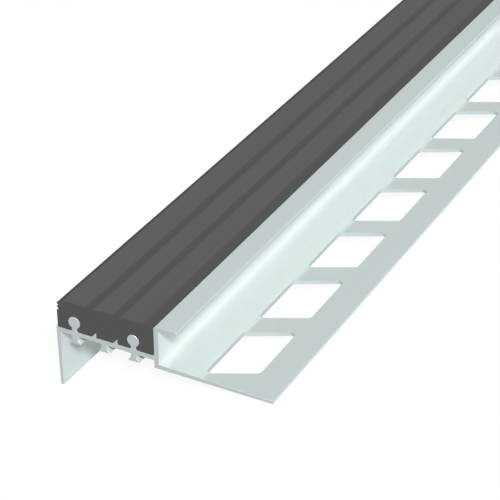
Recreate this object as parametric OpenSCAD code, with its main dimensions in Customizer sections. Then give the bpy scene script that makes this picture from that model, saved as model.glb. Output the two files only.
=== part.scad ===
// Stair nosing: a punched aluminium extrusion that edges a tiled step, with a rubber insert along its tread.
// The section is drawn as it is fitted: X runs from the riser to the tile, Y along the stock, Z up.
// Its zero point is the foot of the wall, on the insert's side, level with the underside of the flange.
// The finished stock is then laid down as it lies loose on a floor, on the downstand's tip and the flange's edge.

/* [Stock] */
// Length of the cut stock
length = 1000; // [200:10:3000]

/* [Seat under the insert] */
// Width from the wall to the nose of the profile
seat_w = 30.75; // [26:0.05:45]
// Thickness of the plate that carries the insert
seat_t = 1.5; // [1:0.1:3]

/* [Wall and lip] */
// Height from the underside of the flange to the top of the lip
wall_h = 13.3; // [12:0.1:25]
// Thickness of the wall
wall_t = 1.45; // [1:0.05:3]
// Width of the top lip, from the wall's insert side
lip_w = 7; // [4:0.1:12]
// Thickness of the lip
lip_t = 1.3; // [0.9:0.05:2.5]
// Radius on the lip's upper edge
lip_edge_r = 0.4; // [0.1:0.05:0.8]
// Radius in the inner corners of the extrusion
corner_r = 0.25; // [0.1:0.05:1]
// Width of the chamfer on the wall's shoulder, which the insert's edge covers
shoulder_c = 0.65; // [0.2:0.05:0.8]

/* [Flange under the tile] */
// Width from the wall's insert side to the outer edge
flange_w = 35.4; // [30:0.1:60]
// Thickness beside the wall
flange_root_t = 1.45; // [1:0.05:3]
// Thickness at the outer edge
flange_tip_t = 0.9; // [0.5:0.05:1]

/* [Downstand on the riser] */
// Depth of the tip below the underside of the flange
downstand_h = 15.1; // [8:0.1:40]
// Thickness at the nose
downstand_root_t = 1.25; // [1:0.05:3]
// Thickness at the tip
downstand_tip_t = 0.95; // [0.5:0.05:1]

/* [Holes in the flange] */
// Width of a hole across the flange
hole_w = 13; // [6:0.1:16]
// Length of a hole along the stock
hole_len = 21.9; // [10:0.1:25]
// Angle between a hole's short sides and the section
hole_slant = 28.5; // [0:0.5:40]
// Corner radius of a hole
hole_r = 1.2; // [0.3:0.1:2]
// Distance from the wall's insert side to the holes
hole_inset = 13.8; // [10:0.1:20]
// Distance from one hole to the next
hole_pitch = 30; // [28:0.5:60]
// Distance from the cut end to the first hole
hole_start = 2.4; // [1.5:0.1:20]
// Least metal left at the far end
hole_end_min = 3; // [2:0.5:20]

/* [Ribs that hold the insert] */
// Radius of a rib's bulb
bulb_r = 1.85; // [1.2:0.05:2.4]
// Height of the bulb's centre above the seat
bulb_rise = 2.7; // [2.2:0.05:3.2]
// Thickness of a rib's neck
neck_t = 1.6; // [0.8:0.05:2.4]
// Distance from the wall to the nearer rib
rib_inset = 6.4; // [5:0.1:8]
// Distance between the two ribs
rib_spacing = 18.5; // [17:0.1:20]
// Width of a grip tooth at its foot
tooth_w = 1.35; // [0.6:0.05:2]
// Height of a grip tooth
tooth_h = 1.65; // [0.6:0.05:2.5]
// Distance from the wall to the upright side of the nearer tooth
tooth_inset = 11.35; // [10:0.05:12.5]
// Distance between the two teeth
tooth_spacing = 6.65; // [4:0.05:8]

/* [Keys under the seat] */
// Height of a key, from the underside of the flange to the seat plate
key_h = 2.4; // [1.8:0.1:5]
// Width of a key's foot
key_w = 3.4; // [2.4:0.1:5]
// Width of a key's neck
key_neck_w = 1.8; // [1:0.1:2.2]
// Height over which the foot narrows to the neck
key_flare_h = 1; // [0.5:0.05:1.2]
// Height of the foot's upright edge
key_edge_h = 0.25; // [0.1:0.05:0.5]

/* [Rubber insert] */
// Distance of the insert's front behind the nose
insert_setback = 0.55; // [0:0.05:2]
// Gap between the insert and the wall
wall_gap = 0.1; // [0.05:0.05:0.5]
// Gap between the insert and the ribs
rib_gap = 0.15; // [0.05:0.05:0.7]
// Gap between the insert and the teeth
tooth_gap = 0.1; // [0.05:0.05:0.5]
// Width of the bevel along the front edge
bevel_w = 2.5; // [1:0.1:4]
// Height of that bevel
bevel_h = 1.7; // [0.5:0.1:3]
// Height of each small notch under the bevel
notch_h = 1.15; // [0.6:0.05:1.5]
// Depth of those notches
notch_d = 0.6; // [0.2:0.05:1]
// Number of those notches
notch_count = 2; // [0:1:3]
// Width of a tread groove at the top
groove_w = 3.5; // [2:0.1:4]
// Width of a tread groove at its floor
groove_floor_w = 1.4; // [0.5:0.1:1.9]
// Depth of the tread grooves
groove_d = 0.2; // [0.1:0.05:1.2]
// Distance from the wall to the nearer groove
groove_inset = 11.05; // [8:0.05:12]
// Distance between the two grooves
groove_spacing = 8.35; // [7:0.05:10]
// Width of the low margin beside the wall
margin_w = 3.3; // [1.5:0.1:5]

/* [Hidden] */
$fn = 64;
// How far a shape that joins another one reaches into it
lap = 0.3;
// How far a straight side stands inside the round corners it joins
hair = 0.004;

// Heights of the seat's top and of the insert's top, which is flush with the lip
seat_z = key_h + seat_t;
insert_top = wall_h;
// The downstand's inner face is upright and its outer face tapers
riser_x = -seat_w + downstand_root_t;
tip_x = riser_x - downstand_tip_t;
// Ribs, teeth and grooves are counted from the wall towards the nose
rib_xs = [for (i = [0:1]) -rib_inset - i * rib_spacing];
tooth_xs = [for (i = [0:1]) -tooth_inset - i * tooth_spacing];
groove_xs = [for (i = [0:1]) -groove_inset - i * groove_spacing];
// One key lies under each rib and one midway
key_xs = [rib_xs[0], (rib_xs[0] + rib_xs[1]) / 2, rib_xs[1]];
// Holes that fit on the length, each leaning by its slant
hole_lean = hole_w * tan(hole_slant);
hole_count = floor((length - hole_start - hole_len - hole_lean - hole_end_min) / hole_pitch) + 1;
// The insert's front face, the start of its bevel and the slope of its grooves' sides
front_x = -seat_w + insert_setback;
bevel_z = insert_top - bevel_h;
groove_side_w = (groove_w - groove_floor_w) / 2;
// Loose stock lies on the downstand's inner tip edge and the flange's lower outer edge
lie_angle = atan2(downstand_h, flange_w - riser_x);
lie_left = min(tip_x * cos(lie_angle) - downstand_h * sin(lie_angle),
               -seat_w * cos(lie_angle) + seat_z * sin(lie_angle));
lie_right = flange_w * cos(lie_angle) + flange_tip_t * sin(lie_angle);
lie_rise = flange_w * sin(lie_angle);

// Turns a section into stock of the full length, centred along Y
module stock() {
  translate([0, length / 2, 0])
    rotate([90, 0, 0])
      linear_extrude(height = length)
        children();
}

// Lays the fitted shape down on the floor, with the middle of its footprint over the origin
module laid_down() {
  translate([-(lie_left + lie_right) / 2, 0, lie_rise])
    rotate([0, lie_angle, 0])
      children();
}

// Concave fillet in a corner of the section; unturned it opens to the upper right
module inner_fillet(at, turn, r) {
  translate(at)
    rotate(turn)
      difference() {
        polygon([[-lap, -lap], [r, -lap], [r, 0], [0, r], [-lap, r]]);
        translate([r, r])
          circle(r);
      }
}

// Tapered leg that hangs over the riser
module downstand_section() {
  polygon([[-seat_w, seat_z], [tip_x, -downstand_h], [riser_x, -downstand_h], [riser_x, seat_z]]);
}

// Upright wall and the lip over the tile's edge, with a chamfered shoulder and a rounded upper edge
module wall_section() {
  difference() {
    union() {
      square([wall_t, wall_h]);
      translate([0, wall_h - lip_t])
        square([lip_w - lip_edge_r, lip_t]);
    }
    polygon([[-lap, wall_h + lap], [-lap, wall_h - shoulder_c - lap], [shoulder_c + lap, wall_h + lap]]);
  }
  translate([wall_t, wall_h - lip_t])
    square([lip_w - wall_t, lip_t - lip_edge_r]);
  translate([lip_w - lip_edge_r, wall_h - lip_edge_r])
    circle(lip_edge_r);
}

// Flange that thins towards its outer edge
module flange_section() {
  polygon([[0, 0], [flange_w, 0], [flange_w, flange_tip_t], [wall_t + corner_r, flange_root_t], [0, flange_root_t]]);
}

// Rib with a round bulb on a narrow neck
module bulb_rib() {
  translate([0, seat_z + bulb_rise])
    circle(bulb_r);
  translate([-neck_t / 2, seat_z - lap])
    square([neck_t, bulb_rise + lap]);
  inner_fillet([neck_t / 2, seat_z], 0, corner_r);
  inner_fillet([-neck_t / 2, seat_z], 90, corner_r);
}

// Grip tooth that rises to its upright side
module grip_tooth() {
  polygon([[-tooth_w, seat_z - lap], [0, seat_z - lap], [0, seat_z + tooth_h], [-tooth_w, seat_z]]);
}

// Dovetail key that locks into the tile adhesive
module adhesive_key() {
  neck = key_neck_w / 2;
  foot = key_w / 2;
  flare_z = key_edge_h + key_flare_h;
  polygon([[-neck, key_h + lap], [-neck, flare_z], [-foot, key_edge_h], [-foot, 0],
           [foot, 0], [foot, key_edge_h], [neck, flare_z], [neck, key_h + lap]]);
}

// Whole section of the extrusion
module profile_section() {
  downstand_section();
  translate([-seat_w + lap, key_h])
    square([seat_w, seat_t]);
  wall_section();
  flange_section();
  for (x = rib_xs)
    translate([x, 0])
      bulb_rib();
  for (x = tooth_xs)
    translate([x, 0])
      grip_tooth();
  for (x = key_xs)
    translate([x, 0])
      adhesive_key();
  inner_fillet([0, seat_z], 90, corner_r);
  inner_fillet([0, key_h], 180, corner_r);
  inner_fillet([riser_x, key_h], 270, corner_r);
  inner_fillet([wall_t, flange_root_t], 0, corner_r);
  inner_fillet([wall_t, wall_h - lip_t], 270, corner_r);
}

// Slanted hole with round corners: a disc in each corner and an eight-sided middle that spans them
// The middle stands a hair inside the discs, so that its sides cross them cleanly
module hole_outline() {
  slope = [sin(hole_slant), cos(hole_slant)];
  side = hole_r / slope.y;
  shift = hole_r * tan(hole_slant);
  low = [[hole_r, shift + side], [hole_w - hole_r, hole_lean - shift + side]];
  high = [for (p = low) p + [0, hole_len - 2 * side]];
  reach = hole_r - hair;
  out = reach * [1, 0];
  up = reach * [-slope.x, slope.y];
  polygon([low[0] - up, low[0] - out, high[0] - out, high[0] + up,
           high[1] + up, high[1] + out, low[1] + out, low[1] - up]);
  for (p = concat(low, high))
    translate(p)
      circle(hole_r);
}

// Row of punched holes along the flange
module flange_holes() {
  for (i = [0:1:hole_count - 1])
    translate([hole_inset, -length / 2 + hole_start + i * hole_pitch, -lap])
      linear_extrude(height = flange_root_t + 2 * lap)
        hole_outline();
}

// Space that a rib, its foot and its bulb need in the insert
module keyhole() {
  mouth = neck_t / 2 + rib_gap;
  translate([0, seat_z + bulb_rise])
    circle(bulb_r + rib_gap);
  translate([-mouth, seat_z - lap])
    square([2 * mouth, bulb_rise + lap]);
  polygon([[-mouth - corner_r - lap, seat_z - lap], [mouth + corner_r + lap, seat_z - lap],
           [mouth, seat_z + corner_r], [-mouth, seat_z + corner_r]]);
}

// Space that a grip tooth needs in the insert
module tooth_notch() {
  polygon([[-tooth_w - tooth_gap, seat_z - lap], [tooth_gap, seat_z - lap],
           [tooth_gap, seat_z + tooth_h + tooth_gap], [-tooth_w - tooth_gap, seat_z + tooth_gap]]);
}

// Space that the wall, its foot and its shoulder need beside the insert
module wall_room() {
  rise = wall_gap * (sqrt(2) - 1);
  foot = corner_r + wall_gap;
  far = shoulder_c + lap;
  polygon([[-wall_gap - foot - lap, seat_z - lap], [-wall_gap, seat_z + foot],
           [-wall_gap, wall_h - shoulder_c + rise], [far, wall_h + lap + wall_gap + rise], [far, seat_z - lap]]);
}

// Tread groove with sloping sides
module tread_groove() {
  rise = lap / groove_d;
  top = groove_w / 2 + groove_side_w * rise;
  polygon([[-top, insert_top + lap], [-groove_floor_w / 2, insert_top - groove_d],
           [groove_floor_w / 2, insert_top - groove_d], [top, insert_top + lap]]);
}

// Whole section of the insert
module insert_section() {
  difference() {
    polygon([[front_x, seat_z], [front_x, bevel_z], [front_x + bevel_w, insert_top],
             [-margin_w, insert_top], [-margin_w + groove_side_w, insert_top - groove_d],
             [shoulder_c, insert_top - groove_d], [shoulder_c, seat_z]]);
    wall_room();
    for (x = rib_xs)
      translate([x, 0])
        keyhole();
    for (x = tooth_xs)
      translate([x, 0])
        tooth_notch();
    for (x = groove_xs)
      translate([x, 0])
        tread_groove();
    for (i = [0:1:notch_count - 1])
      translate([front_x, bevel_z - i * notch_h])
        polygon([[-lap, 0], [0, 0], [notch_d, -notch_h / 2], [0, -notch_h], [-lap, -notch_h]]);
  }
}

// Aluminium extrusion with its punched flange
module aluminium_profile() {
  color([0.76, 0.8, 0.81])
    laid_down()
      difference() {
        stock()
          profile_section();
        flange_holes();
      }
}

// Dark grey rubber strip on the two ribs
module rubber_insert() {
  color([0.37, 0.37, 0.37])
    laid_down()
      stock()
        insert_section();
}

aluminium_profile();
rubber_insert();
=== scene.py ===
# %% [markdown]
# # A stair nosing: an aluminium extrusion with a rubber tread insert
# The shape of this part comes from its CAD model, which arrives here as a fixed frame of two
# meshes. Blender adds what CAD leaves out: the finish of the metal and the rubber, the filed edges
# of the sawn ends, a floor, light and a camera. The CAD meshes stay as they are: the insert's gets
# a material, and the profile's is copied before anything is done to it.

# %% Load the CAD frame
import math

import bmesh
import bpy
import numpy as np
from mathutils import Matrix, Vector


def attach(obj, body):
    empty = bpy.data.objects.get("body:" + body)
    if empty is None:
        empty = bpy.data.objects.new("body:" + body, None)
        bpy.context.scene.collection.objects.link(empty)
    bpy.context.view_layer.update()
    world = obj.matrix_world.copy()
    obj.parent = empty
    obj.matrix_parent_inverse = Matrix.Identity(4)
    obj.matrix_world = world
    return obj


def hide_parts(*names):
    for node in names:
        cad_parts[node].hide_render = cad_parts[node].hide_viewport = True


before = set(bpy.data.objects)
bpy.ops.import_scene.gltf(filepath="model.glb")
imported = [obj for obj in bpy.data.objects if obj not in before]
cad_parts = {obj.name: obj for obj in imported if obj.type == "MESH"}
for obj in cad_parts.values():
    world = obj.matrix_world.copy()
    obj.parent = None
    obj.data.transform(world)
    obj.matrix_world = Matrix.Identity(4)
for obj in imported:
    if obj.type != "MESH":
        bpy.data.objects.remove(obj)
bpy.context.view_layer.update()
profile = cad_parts["aluminium_profile"]
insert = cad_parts["rubber_insert"]
print("CAD nodes:", sorted(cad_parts))

# %% [markdown]
# ## The section as it is fitted
# Loose stock lies tilted on a floor, on its downstand and its flange, so the stored section is
# turned about its long axis. Finishes are easier to describe in the section as it is fitted on a
# step: across the tread, along it and up. The values below repeat the few CAD sizes that the
# finishes need, in millimetres, with the turn and the shift that lay the section on the floor. They
# could be measured from the meshes, but a size with a name is easier to read.

# %% Sizes of the section and how it lies
MM = 0.001  # a millimetre, in the scene's metres
LENGTH = 1000.0
TREAD_TOP = 13.3
HOLE_SPAN = (13.8, 26.8)  # the row of holes begins and ends here, across the section
LIE_ANGLE = math.radians(13.097736)
FOOT_SHIFT = -0.801662
FOOT_RISE = 8.022094
print("the section lies turned by", round(math.degrees(LIE_ANGLE), 1), "degrees")

# %% [markdown]
# ## The camera
# The photograph looks along the stock from its near end, from the tile's side and from above,
# through a long lens. The place and the two directions below were fitted to straight edges of the
# profile. A camera could be aimed with a Track To constraint, but the picture is also rolled a
# little, so its axes are given as a matrix.

# %% Camera
CAMERA_AT = Vector((0.266596, -0.839142, 0.230033))
CAMERA_RIGHT = Vector((0.859216, 0.469283, -0.203769)).normalized()
CAMERA_UP = Vector((-0.039509, 0.45796, 0.888094))
LENS_MM = 131.294
SENSOR_MM = 36.0

camera_back = CAMERA_RIGHT.cross(CAMERA_UP).normalized()
camera_up = camera_back.cross(CAMERA_RIGHT).normalized()
axes = Matrix((CAMERA_RIGHT, camera_up, camera_back)).transposed()
camera = bpy.data.objects.new("camera", bpy.data.cameras.new("camera"))
camera.data.lens = LENS_MM
camera.data.sensor_width = SENSOR_MM
camera.matrix_world = Matrix.Translation(CAMERA_AT) @ axes.to_4x4()
bpy.context.scene.collection.objects.link(camera)
bpy.context.scene.camera = camera
print("the camera looks down by", round(math.degrees(math.asin(camera_back.z)), 1), "degrees")

# %% [markdown]
# ## Small helpers for node trees
# Colours are written as sRGB hex values, as a paint chart gives them, and shaders want linear
# light, so one function converts them. Another adds any node: settings go to its properties or
# unlinked sockets, and links join sockets of earlier nodes to its inputs. Nodes could be drawn by
# hand in the editor, but a script that builds them shows every value in one place.

# %% Helpers for colours and nodes
# A Mix node has sockets for each type of data. These are the places of those for colours and for
# numbers.
COLOUR_A, COLOUR_B, COLOUR_OUT = 6, 7, 2
NUMBER_A, NUMBER_B = 2, 3


def colour(hex_value):
    """Linear RGBA of an sRGB hex value such as "#5E5E5E"."""
    parts = [int(hex_value[i:i + 2], 16) / 255 for i in (1, 3, 5)]
    return tuple(p / 12.92 if p <= 0.04045 else ((p + 0.055) / 1.055) ** 2.4 for p in parts) + (1.0,)


def add(tree, kind, settings=(), links=()):
    """A new node of that kind; names that aren't properties of the node are its input sockets."""
    node = tree.nodes.new(kind)
    for name, value in dict(settings).items():
        if isinstance(name, str) and hasattr(node, name):
            setattr(node, name, value)
        else:
            node.inputs[name].default_value = value
    for name, source in dict(links).items():
        tree.links.new(source, node.inputs[name])
    return node


def new_material(name):
    """An empty material and its node tree."""
    material = bpy.data.materials.new(name)
    material.use_nodes = True
    material.node_tree.nodes.clear()
    return material, material.node_tree


print("mid grey is", [round(c, 3) for c in colour("#808080")])

# %% [markdown]
# ## The floor
# Stock like this is shown on a pure white ground. Light that is strong enough to make a floor white
# would also bleach the metal, so the white is a glow that only some rays see: Light Path tells the
# material what kind of ray has arrived. The camera sees mostly the glow, and for the rest the lit
# paint with the part's shadow. Mirror rays from the metal see part of that white too. All other
# rays meet a greyer paint, so that the floor doesn't throw too much light up at the part.

# %% Floor
FLOOR_HALF = 20.0

floor_mesh = bpy.data.meshes.new("studio_floor")
corners = [(x * FLOOR_HALF, y * FLOOR_HALF, 0) for x, y in ((-1, -1), (1, -1), (1, 1), (-1, 1))]
floor_mesh.from_pydata(corners, [], [(0, 1, 2, 3)])
floor = bpy.data.objects.new("studio_floor", floor_mesh)
bpy.context.scene.collection.objects.link(floor)
print("floor", 2 * FLOOR_HALF, "m wide")

# %% Floor paint
# Matt paint scatters light evenly, so the eye sees a soft shadow on it and no highlight.
GLOW = 1.0  # a strength of 1 is white
WHITE_TO_CAMERA = 0.92  # the glow's share in what the camera sees of the floor
WHITE_IN_METAL = 0.62  # and in what the metal mirrors of it
LIGHT_TINT = "#F1FFFF"  # the studio light is slightly cool
PAINT = "#8A8A8A"
PAINT_TO_CAMERA = "#F6F6F6"

floor_paint, tree = new_material("matt white floor paint")
white = add(tree, "ShaderNodeEmission", {"Strength": GLOW, "Color": colour("#FFFFFF")})
cool = add(tree, "ShaderNodeEmission", {"Strength": GLOW, "Color": colour(LIGHT_TINT)})
path = add(tree, "ShaderNodeLightPath")
paint = add(tree, "ShaderNodeMix",
            {"data_type": "RGBA", COLOUR_A: colour(PAINT), COLOUR_B: colour(PAINT_TO_CAMERA)},
            {0: path.outputs["Is Camera Ray"]})
lit = add(tree, "ShaderNodeBsdfDiffuse", (), {"Color": paint.outputs[COLOUR_OUT]})
direct = add(tree, "ShaderNodeMath", {"operation": "MAXIMUM"},
             {0: path.outputs["Is Camera Ray"], 1: path.outputs["Is Transmission Ray"]})
direct = add(tree, "ShaderNodeMath", {"operation": "MULTIPLY", 1: WHITE_TO_CAMERA}, {0: direct.outputs[0]})
mirrored = add(tree, "ShaderNodeMath", {"operation": "MULTIPLY", 1: WHITE_IN_METAL},
               {0: path.outputs["Is Glossy Ray"]})
ground = lit
for share, glow in ((mirrored, cool), (direct, white)):
    ground = add(tree, "ShaderNodeMixShader", (),
                 {0: share.outputs[0], 1: ground.outputs[0], 2: glow.outputs[0]})
add(tree, "ShaderNodeOutputMaterial", (), {"Surface": ground.outputs[0]})
floor_mesh.materials.append(floor_paint)
print(floor_paint.name, "shows the camera", WHITE_TO_CAMERA, "of white and the metal", WHITE_IN_METAL)

# %% [markdown]
# ## The light
# One key light stands above and to the right of the camera. An area lamp would fade along a metre
# of stock, so it is a sun, which has the same angle and strength all along and whose width sets how
# soft the lip's shadow on the wall is. The rest is a dim, cool sky with two brighter patches: a
# diffuser at the far right, which wall and flange mirror, and a bounce card on the riser's side, so
# that the back isn't black. The patches could be lamps as well, but a sky that changes only with
# direction gives long metal faces even reflections.

# %% Sky with a diffuser and a bounce card
# Each patch begins at the first angle of its edge and is full at the second.
SKY_LEVEL = 0.228
DIFFUSER_LEVEL = 0.42
DIFFUSER_TOWARDS = Vector((0.60, 0.74, 0.30)).normalized()
DIFFUSER_EDGE = (math.radians(42), math.radians(30))
CARD_LEVEL = 0.75
CARD_TOWARDS = Vector((-0.93, -0.33, 0.15)).normalized()
CARD_EDGE = (math.radians(55), math.radians(25))

world = bpy.data.worlds.new("soft studio sky")
bpy.context.scene.world = world
world.use_nodes = True
tree = world.node_tree
tree.nodes.clear()
way = add(tree, "ShaderNodeTexCoord")


def soft_panel(towards, edge, rise):
    """A round patch of the sky with a soft edge, brighter by that rise."""
    near = add(tree, "ShaderNodeVectorMath", {"operation": "DOT_PRODUCT", 1: towards},
               {0: way.outputs["Generated"]})
    return add(tree, "ShaderNodeMapRange",
               {"interpolation_type": "SMOOTHSTEP", "From Min": math.cos(edge[0]),
                "From Max": math.cos(edge[1]), "To Max": rise}, {"Value": near.outputs["Value"]})


diffuser = soft_panel(DIFFUSER_TOWARDS, DIFFUSER_EDGE, DIFFUSER_LEVEL - SKY_LEVEL)
card = soft_panel(CARD_TOWARDS, CARD_EDGE, CARD_LEVEL - SKY_LEVEL)
level = add(tree, "ShaderNodeMath", {"operation": "ADD"}, {0: diffuser.outputs[0], 1: card.outputs[0]})
level = add(tree, "ShaderNodeMath", {"operation": "ADD", 1: SKY_LEVEL}, {0: level.outputs[0]})
sky = add(tree, "ShaderNodeBackground", {"Color": colour(LIGHT_TINT)}, {"Strength": level.outputs[0]})
add(tree, "ShaderNodeOutputWorld", (), {"Surface": sky.outputs[0]})
print("sky at", SKY_LEVEL, "with a diffuser at", DIFFUSER_LEVEL, "and a card at", CARD_LEVEL)

# %% Key light
SUN_STRENGTH = 5.08
SUN_FROM = Vector((0.602, -0.588, 0.541))
SUN_WIDTH = math.radians(9)  # a wider sun gives softer shadows

sun = bpy.data.objects.new("broad sun", bpy.data.lights.new("broad sun", "SUN"))
sun.data.energy = SUN_STRENGTH
sun.data.color = colour(LIGHT_TINT)[:3]
sun.data.angle = SUN_WIDTH
sun.rotation_euler = SUN_FROM.to_track_quat("Z", "Y").to_euler()
bpy.context.scene.collection.objects.link(sun)
bpy.context.scene.view_settings.view_transform = "Standard"
print("the key light stands", round(math.degrees(math.asin(SUN_FROM.normalized().z)), 1), "degrees high")

# %% [markdown]
# ## Where the metal was worked
# The profile is pressed through a die, which leaves a smooth, pale skin. It is then sawn to length,
# its flange is punched, and the outside of the lip is rubbed satin. Each face could get its
# material by hand, but the work follows the shape: sawn faces look along the stock, punched ones
# stand upright within the row of holes, and the lip is all that lies above the slot. So the
# material reads a face's place and direction in the fitted section, and makes masks of them that
# are 1 where the work was done.

# %% Place and direction in the section


def section_place(tree):
    """Object coordinates turned back to the fitted section, in metres."""
    place = add(tree, "ShaderNodeTexCoord")
    shifted = add(tree, "ShaderNodeVectorMath",
                  {"operation": "SUBTRACT", 1: (FOOT_SHIFT * MM, 0.0, FOOT_RISE * MM)},
                  {0: place.outputs["Object"]})
    return add(tree, "ShaderNodeVectorRotate", {"rotation_type": "Y_AXIS", "Angle": -LIE_ANGLE},
               {"Vector": shifted.outputs[0]}).outputs[0]


def section_facing(tree):
    """The direction that a face looks in, turned back to the fitted section."""
    shape = add(tree, "ShaderNodeNewGeometry")
    return add(tree, "ShaderNodeVectorRotate", {"rotation_type": "Y_AXIS", "Angle": -LIE_ANGLE},
               {"Vector": shape.outputs["True Normal"]}).outputs[0]


aluminium, tree = new_material("extruded aluminium, mill finish")
place = section_place(tree)
at = add(tree, "ShaderNodeSeparateXYZ", (), {0: place})
look = add(tree, "ShaderNodeSeparateXYZ", (), {0: section_facing(tree)})
print(aluminium.name, "reads place and direction with", len(tree.nodes), "nodes")

# %% Sawn, punched and filed faces
LOOKS_ALONG = 0.9  # a face that looks along the stock by more than this was sawn
LOOKS_UP = 0.5  # a face that looks up or down by less than this stands upright
HOLE_MARGIN = 0.2  # a little room, so that no face of a hole is missed
FILED_MM = 0.08

along = add(tree, "ShaderNodeMath", {"operation": "ABSOLUTE"}, {0: look.outputs["Y"]})
sawn = add(tree, "ShaderNodeMath", {"operation": "GREATER_THAN", 1: LOOKS_ALONG}, {0: along.outputs[0]})
upward = add(tree, "ShaderNodeMath", {"operation": "ABSOLUTE"}, {0: look.outputs["Z"]})
punched = add(tree, "ShaderNodeMath", {"operation": "LESS_THAN", 1: LOOKS_UP}, {0: upward.outputs[0]})
after = add(tree, "ShaderNodeMath", {"operation": "GREATER_THAN", 1: (HOLE_SPAN[0] - HOLE_MARGIN) * MM},
            {0: at.outputs["X"]})
before = add(tree, "ShaderNodeMath", {"operation": "LESS_THAN", 1: (HOLE_SPAN[1] + HOLE_MARGIN) * MM},
             {0: at.outputs["X"]})
for side in (after, before):
    punched = add(tree, "ShaderNodeMath", {"operation": "MULTIPLY"},
                  {0: punched.outputs[0], 1: side.outputs[0]})
punched = add(tree, "ShaderNodeMath", {"operation": "SUBTRACT", "use_clamp": True},
              {0: punched.outputs[0], 1: sawn.outputs[0]})
reach = add(tree, "ShaderNodeMath", {"operation": "ABSOLUTE"}, {0: at.outputs["Y"]})
filed_edge = add(tree, "ShaderNodeMath", {"operation": "GREATER_THAN", 1: (LENGTH / 2 - FILED_MM) * MM},
                 {0: reach.outputs[0]})
print("punched faces lie", HOLE_SPAN[0], "to", HOLE_SPAN[1], "mm from the wall's foot")

# %% The lip and its rim
LIP_UNDERSIDE = 11.9
RIM_SHADE_SPAN = (6.3, 6.9)  # the rim is painted darker, painted shade that tones down its bright edge, and it fades in between these places

lip = add(tree, "ShaderNodeMath", {"operation": "GREATER_THAN", 1: LIP_UNDERSIDE * MM}, {0: at.outputs["Z"]})
outer = add(tree, "ShaderNodeMapRange",
            {"interpolation_type": "SMOOTHSTEP", "From Min": RIM_SHADE_SPAN[0] * MM, "From Max": RIM_SHADE_SPAN[1] * MM},
            {"Value": at.outputs["X"]})
shaded_rim = add(tree, "ShaderNodeMath", {"operation": "MULTIPLY"}, {0: outer.outputs[0], 1: lip.outputs[0]})
print("the lip is satin above", LIP_UNDERSIDE, "mm")

# %% [markdown]
# ## Lines of the die and of the saw
# The die draws fine lines and slight streaks of tone along the metal, and the saw leaves lines
# across the ends. A picture of them could be wrapped round the section, but noise that is stretched
# along one axis gives such lines at any length and without a seam. Real ones are about a tenth of a
# millimetre apart, too fine to show in the render, so they are drawn three to four times as coarse,
# and kept faint.

# %% Die lines, streaks and saw lines
NOISE_DETAIL = 2.0
DIE_LINE_MM = 0.4
STREAK_MM = 5.0
RUN_MM = 300.0
SAW_LINE_MM = 0.3
SAW_RUN_MM = 12.0
SAW_SLOPE = math.radians(35)  # the saw's lines cross the section at this angle


def stretched(tree, source, across_mm, along_mm, up_mm):
    """Noise whose grains have these sizes along the axes of the section."""
    scale = tuple(1 / (size * MM) for size in (across_mm, along_mm, up_mm))
    grains = add(tree, "ShaderNodeVectorMath", {"operation": "MULTIPLY", 1: scale}, {0: source})
    return add(tree, "ShaderNodeTexNoise", {"Scale": 1.0, "Detail": NOISE_DETAIL},
               {"Vector": grains.outputs[0]}).outputs[0]


die_lines = stretched(tree, place, DIE_LINE_MM, RUN_MM, DIE_LINE_MM)
streaks = stretched(tree, place, STREAK_MM, RUN_MM, STREAK_MM)
tilted = add(tree, "ShaderNodeVectorRotate", {"rotation_type": "Y_AXIS", "Angle": SAW_SLOPE},
             {"Vector": place})
saw_lines = stretched(tree, tilted.outputs[0], SAW_RUN_MM, SAW_LINE_MM, SAW_LINE_MM)
print("die lines", DIE_LINE_MM, "mm apart, saw lines", SAW_LINE_MM, "mm")

# %% [markdown]
# ## Mill-finish aluminium
# Metal as the die leaves it is half a mirror: about half of the light that its skin returns is
# mirrored, and the oxide on it scatters the rest. A fully metallic shader would look like chrome,
# dark wherever nothing bright stands opposite, so Metallic is set to the share that mirrors. The
# colours and the roughness are laid over each other in this order: skin, punching, the lip's rim,
# filing, and the saw's faces last. The greys of the rim and the filed edges are painted shade, and
# so is part of the sawn ends' grey.

# %% Colours of the metal
# To the eye: a pale skin that mirrors what is close to it, and greyer, duller faces where it was cut, with
# painted shade on the lip's rim, on the filed edges and in part on the sawn ends.
SKIN = ("#E6E6E6", "#ECECEC")
# The sawn ends' grey is partly the saw's duller cut and partly painted shade on the faces that look along the
# stock.
SAWN_GREY_AND_SHADE = ("#BDBBBB", "#CAC8C8")
PUNCHED = "#D4D4D4"
# The rim's grey is painted shade that keeps the lip's rounded edge from shining bright.
RIM_PAINTED_SHADE = "#D9D9D9"
# The filed slope's grey is painted shade that keeps it from showing a bright line round the ends.
FILED_EDGE_SHADE = "#CCCCCC"

skin_colour = add(tree, "ShaderNodeMix",
                  {"data_type": "RGBA", COLOUR_A: colour(SKIN[0]), COLOUR_B: colour(SKIN[1])}, {0: streaks})
sawn_and_shade_colour = add(tree, "ShaderNodeMix",
                  {"data_type": "RGBA", COLOUR_A: colour(SAWN_GREY_AND_SHADE[0]), COLOUR_B: colour(SAWN_GREY_AND_SHADE[1])}, {0: saw_lines})
metal_colour = skin_colour
# The punched faces get their own grey, and the rim and the filed edges get painted shade.
for mask, tone in ((punched, PUNCHED), (shaded_rim, RIM_PAINTED_SHADE), (filed_edge, FILED_EDGE_SHADE)):
    metal_colour = add(tree, "ShaderNodeMix", {"data_type": "RGBA", COLOUR_B: colour(tone)},
                       {0: mask.outputs[0], COLOUR_A: metal_colour.outputs[COLOUR_OUT]})
# Last come the sawn ends, whose grey is partly painted shade.
metal_colour = add(tree, "ShaderNodeMix", {"data_type": "RGBA"},
                   {0: sawn.outputs[0], COLOUR_A: metal_colour.outputs[COLOUR_OUT],
                    COLOUR_B: sawn_and_shade_colour.outputs[COLOUR_OUT]})
print("skin", SKIN, "and sawn ends", SAWN_GREY_AND_SHADE)

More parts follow.
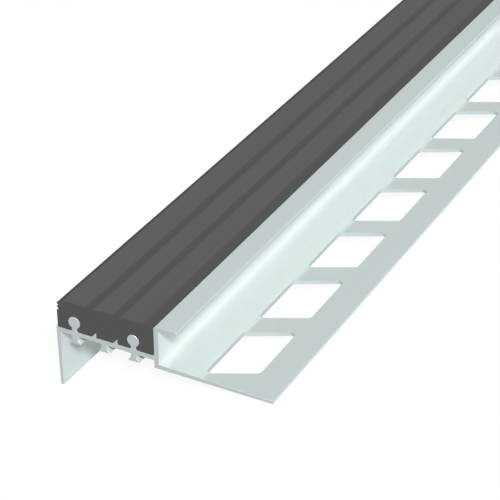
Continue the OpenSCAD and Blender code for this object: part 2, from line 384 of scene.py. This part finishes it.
# %% Roughness of the metal
SKIN_ROUGH = (0.05, 0.09)
LIP_ROUGH = (0.2, 0.26)
SAWN_ROUGH = (0.38, 0.5)
PUNCHED_ROUGH = 0.3
FILED_ROUGH = 0.55

skin_rough, lip_rough, sawn_rough = [
    add(tree, "ShaderNodeMapRange", {"To Min": span[0], "To Max": span[1]}, {"Value": lines})
    for span, lines in ((SKIN_ROUGH, die_lines), (LIP_ROUGH, die_lines), (SAWN_ROUGH, saw_lines))]
rough = add(tree, "ShaderNodeMix", {"data_type": "FLOAT"},
            {0: lip.outputs[0], NUMBER_A: skin_rough.outputs[0], NUMBER_B: lip_rough.outputs[0]})
for mask, value in ((punched, PUNCHED_ROUGH), (filed_edge, FILED_ROUGH)):
    rough = add(tree, "ShaderNodeMix", {"data_type": "FLOAT", NUMBER_B: value},
                {0: mask.outputs[0], NUMBER_A: rough.outputs[0]})
rough = add(tree, "ShaderNodeMix", {"data_type": "FLOAT"},
            {0: sawn.outputs[0], NUMBER_A: rough.outputs[0], NUMBER_B: sawn_rough.outputs[0]})
print("roughness from", SKIN_ROUGH[0], "on the skin to", FILED_ROUGH, "on the filed edge")

# %% The metal's shader
MIRROR_SHARE = 0.5
LINE_RELIEF = 0.05
LINE_DEPTH_MM = 0.01

relief = add(tree, "ShaderNodeMix", {"data_type": "FLOAT"},
             {0: sawn.outputs[0], NUMBER_A: die_lines, NUMBER_B: saw_lines})
bump = add(tree, "ShaderNodeBump", {"Strength": LINE_RELIEF, "Distance": LINE_DEPTH_MM * MM},
           {"Height": relief.outputs[0]})
metal = add(tree, "ShaderNodeBsdfPrincipled", {"Metallic": MIRROR_SHARE},
            {"Base Color": metal_colour.outputs[COLOUR_OUT], "Roughness": rough.outputs[0],
             "Normal": bump.outputs[0]})
add(tree, "ShaderNodeOutputMaterial", (), {"Surface": metal.outputs[0]})
print(aluminium.name, "has", len(tree.nodes), "nodes")

# %% [markdown]
# ## Filed ends
# After sawing, the sharp edge round the section is broken with a file, and that narrow slope
# catches the light. A Bevel modifier would also take the edges of the holes, so only the two end
# faces are treated: the triangles of an end are joined to one face, an inset draws a rim inside it,
# and the outer edge of the rim moves back. The CAD mesh itself stays as it is. A copy is worked on,
# and because CAD triangles come loose, its points are merged first. The smooth directions of the
# CAD surfaces are kept for all the other faces.

# %% A copy of the profile with filed ends
MERGE_MM = 0.002  # points closer than this are one point


def filed_copy(node, name):
    """A copy of a CAD mesh whose two ends have a small slope round the section."""
    mesh = node.data.copy()
    mesh.name = name
    directions = np.empty(len(mesh.loops) * 3, np.float32)
    mesh.corner_normals.foreach_get("vector", directions)
    kept = mesh.attributes.new("smooth_direction", "FLOAT_VECTOR", "CORNER")
    kept.data.foreach_set("vector", directions)
    mesh.attributes.remove(mesh.attributes["custom_normal"])
    shape = bmesh.new()
    shape.from_mesh(mesh)
    bmesh.ops.remove_doubles(shape, verts=shape.verts, dist=MERGE_MM * MM)
    for side in (-1, 1):
        plane = side * LENGTH / 2 * MM
        pieces = [f for f in shape.faces if all(abs(v.co.y - plane) < MERGE_MM * MM for v in f.verts)]
        end = bmesh.ops.dissolve_faces(shape, faces=pieces)["region"][0]
        bmesh.ops.inset_region(shape, faces=[end], thickness=FILED_MM * MM, use_even_offset=True,
                               use_boundary=True)
        for point in shape.verts:
            if abs(point.co.y - plane) < MERGE_MM * MM and end not in point.link_faces:
                point.co.y -= side * FILED_MM * MM
    shape.to_mesh(mesh)
    shape.free()
    return mesh


filed = filed_copy(profile, "filed_profile")
print(filed.name, len(profile.data.polygons), "->", len(filed.polygons), "faces")

# %% Give the copy its smooth directions
filed.polygons.foreach_set("use_smooth", [True] * len(filed.polygons))
directions = np.empty(len(filed.loops) * 3, np.float32)
filed.attributes["smooth_direction"].data.foreach_get("vector", directions)
directions = directions.reshape(-1, 3)
for face in filed.polygons:
    if abs(face.center.y) > (LENGTH / 2 - FILED_MM) * MM:
        directions[list(face.loop_indices)] = face.normal
filed.normals_split_custom_set(directions.tolist())
filed.attributes.remove(filed.attributes["smooth_direction"])
print(filed.name, "keeps", len(directions), "directions")

# %% Put the copy in the profile's place
filed.materials.clear()
filed.materials.append(aluminium)
filed_profile = bpy.data.objects.new("filed_profile", filed)
bpy.context.scene.collection.objects.link(filed_profile)
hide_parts("aluminium_profile")
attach(filed_profile, "root")
print(filed_profile.name, "stands for", profile.name)

# %% [markdown]
# ## Extruded rubber
# The insert is a solid dark grey rubber, extruded and matt. The bands of its tread are a little
# paler than the grooves, the margin beside the wall and all that lies lower, which get a darker
# grey of painted shade. In the grooves that shade sits a little off their middles, to even out the
# light on their two flanks. The grooves are so shallow that their shape hardly shades, so colour
# has to tell them apart. It could be painted on by hand, but soft masks by place across the tread
# and by height are the same all along the stock. The grain of a real rubber skin is under a tenth
# of a millimetre, too fine to show, so it is drawn coarser.

# %% Where the rubber is painted with shade
PAINTED_SHADE_MIDDLES = (-19.6, -11.25)  # middles of the painted shade, in the two grooves but a little off their middles, to even out the light on the grooves' flanks
PAINTED_SHADE_HALF = (0.9, 1.5)  # painted shade up to the first distance from a middle, and none from the second
PAINTED_SHADE_MARGIN = (-3.5, -2.9)  # painted shade on the margin beside the wall begins between these places
PAINTED_SHADE_BELOW_TOP = (0.6, 0.3)  # painted shade begins between these depths below the tread's top

rubber, tree = new_material("extruded rubber, matt")
place = section_place(tree)
at = add(tree, "ShaderNodeSeparateXYZ", (), {0: place})
across, up = at.outputs["X"], at.outputs["Z"]
limits = [(up, TREAD_TOP - PAINTED_SHADE_BELOW_TOP[0], TREAD_TOP - PAINTED_SHADE_BELOW_TOP[1]),
          (across, PAINTED_SHADE_MARGIN[1], PAINTED_SHADE_MARGIN[0])]
for middle in PAINTED_SHADE_MIDDLES:
    off = add(tree, "ShaderNodeMath", {"operation": "SUBTRACT", 1: middle * MM}, {0: across})
    off = add(tree, "ShaderNodeMath", {"operation": "ABSOLUTE"}, {0: off.outputs[0]})
    limits.append((off.outputs[0], PAINTED_SHADE_HALF[0], PAINTED_SHADE_HALF[1]))
masks = [add(tree, "ShaderNodeMapRange",
             {"interpolation_type": "SMOOTHSTEP", "From Min": shaded_end * MM, "From Max": unshaded_end * MM},
             {"Value": measure}) for measure, shaded_end, unshaded_end in limits]
# The mask is 1 on the bands of the tread and 0 where the painted shade goes.
unshaded = masks[0]
for mask in masks[1:]:
    unshaded = add(tree, "ShaderNodeMath", {"operation": "MULTIPLY"},
                 {0: unshaded.outputs[0], 1: mask.outputs[0]})
print("the rubbed bands come from", len(masks), "masks")

# %% Matt extruded rubber
# To the eye: a dark, dry grey with hardly any highlight, which a fine grain breaks up, and a darker grey of
# painted shade in the grooves, beside the wall and below the tread's top.
GRAIN_MM = 0.25
DRAG_MM = 1.6
DRAG_RUN_MM = 160.0
# The first pair of greys is painted shade, and the second is the bands' own grey.
PAINTED_SHADE_GREYS = ("#443F3F", "#494343")
BAND = ("#4E4848", "#544E4E")
RUBBER_ROUGH = (0.78, 0.9)
RUBBER_GLOSS = 0.4
GRAIN_RELIEF = 0.3
GRAIN_DEPTH_MM = 0.02

grain = stretched(tree, place, GRAIN_MM, GRAIN_MM, GRAIN_MM)
drag = stretched(tree, place, DRAG_MM, DRAG_RUN_MM, DRAG_MM)
painted_shade_colour, band_colour = [
    add(tree, "ShaderNodeMix", {"data_type": "RGBA", COLOUR_A: colour(tones[0]), COLOUR_B: colour(tones[1])},
        {0: pattern}) for tones, pattern in ((PAINTED_SHADE_GREYS, grain), (BAND, drag))]
rubber_colour = add(tree, "ShaderNodeMix", {"data_type": "RGBA"},
                    {0: unshaded.outputs[0], COLOUR_A: painted_shade_colour.outputs[COLOUR_OUT],
                     COLOUR_B: band_colour.outputs[COLOUR_OUT]})
rubber_rough = add(tree, "ShaderNodeMapRange", {"To Min": RUBBER_ROUGH[0], "To Max": RUBBER_ROUGH[1]},
                   {"Value": grain})
bump = add(tree, "ShaderNodeBump", {"Strength": GRAIN_RELIEF, "Distance": GRAIN_DEPTH_MM * MM},
           {"Height": grain})
skin = add(tree, "ShaderNodeBsdfPrincipled", {"Specular IOR Level": RUBBER_GLOSS},
           {"Base Color": rubber_colour.outputs[COLOUR_OUT], "Roughness": rubber_rough.outputs[0],
            "Normal": bump.outputs[0]})
add(tree, "ShaderNodeOutputMaterial", (), {"Surface": skin.outputs[0]})
insert.data.materials.clear()
insert.data.materials.append(rubber)
print(rubber.name, "on", insert.name, "with", len(insert.data.polygons), "faces")
